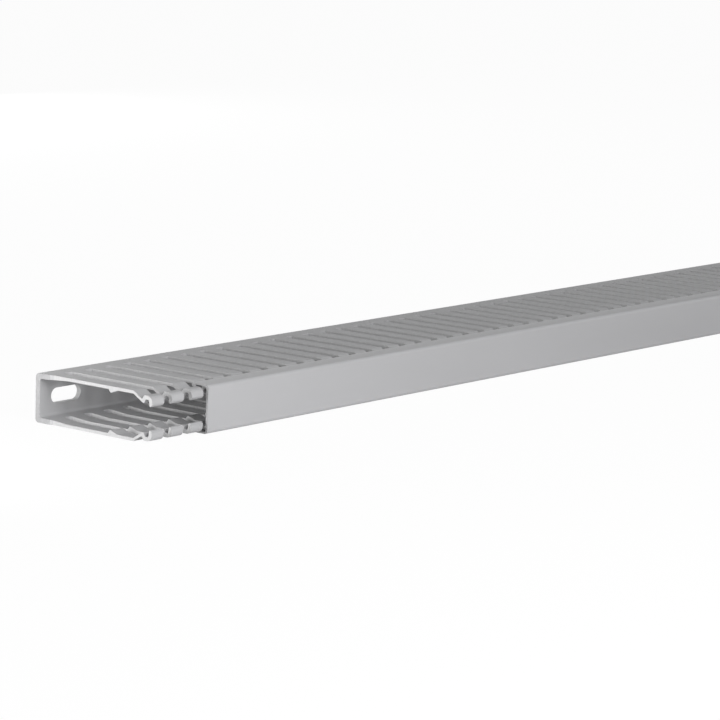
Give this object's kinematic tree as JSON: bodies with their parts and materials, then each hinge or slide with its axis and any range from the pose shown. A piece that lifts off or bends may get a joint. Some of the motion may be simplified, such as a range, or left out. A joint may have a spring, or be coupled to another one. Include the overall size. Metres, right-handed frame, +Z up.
{
  "type": "slotted wire duct",
  "caption": "Slotted wiring duct: a channel with open-ended fingers on its side walls, oblong screw slots in the base, and a clip-on cover that slides along it.",
  "frame": {"origin": "middle of the part's box at the level of the floor that it lies on", "axes": "+X along the duct, away from the end where the cover is slid back; +Y from the mouth and cover to the solid base; +Z up, from one slotted wall to the other"},
  "size_m": [1.039, 0.08, 0.025],
  "materials": {
    "duct_plastic": "smooth light grey rigid PVC, extruded and punched",
    "cover_plastic": "smooth light grey rigid PVC, extruded, with a low sheen"
  },
  "bodies": {
    "duct": {"slotted_duct": "duct_plastic"},
    "cover": {"cover": "cover_plastic"}
  },
  "joints": [
    {"name": "cover_slide", "type": "slide", "parent": "duct", "child": "cover", "axis": [1, 0, 0], "range_m": [-0.039, 0.9]}
  ]
}
